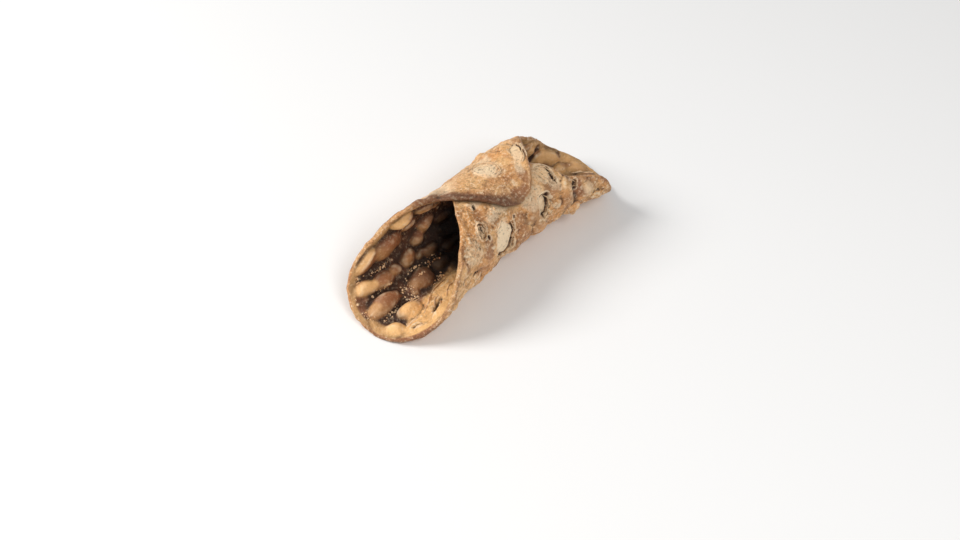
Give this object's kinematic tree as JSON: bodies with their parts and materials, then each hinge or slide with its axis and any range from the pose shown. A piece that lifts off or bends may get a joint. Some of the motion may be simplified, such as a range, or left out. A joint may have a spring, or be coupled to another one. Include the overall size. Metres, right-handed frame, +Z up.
{
  "type": "cannoli shell",
  "caption": "Empty cannoli shell: a thin square of fried dough wrapped on its diagonal into an open tube, corners lapped on top, both ends flared, blistered all over.",
  "frame": {"origin": "centre of the bounding box at the surface that the shell lies on", "axes": "+X along the tube from the near, wider scoop to the far scoop; +Y towards the side whose flap laps on top; +Z up"},
  "size_m": [0.1266, 0.0458, 0.0396],
  "materials": {
    "fried_dough": "dry golden brown fried dough, matt with a faint oily sheen"
  },
  "bodies": {
    "root": {"shell": "fried_dough"}
  },
  "joints": []
}
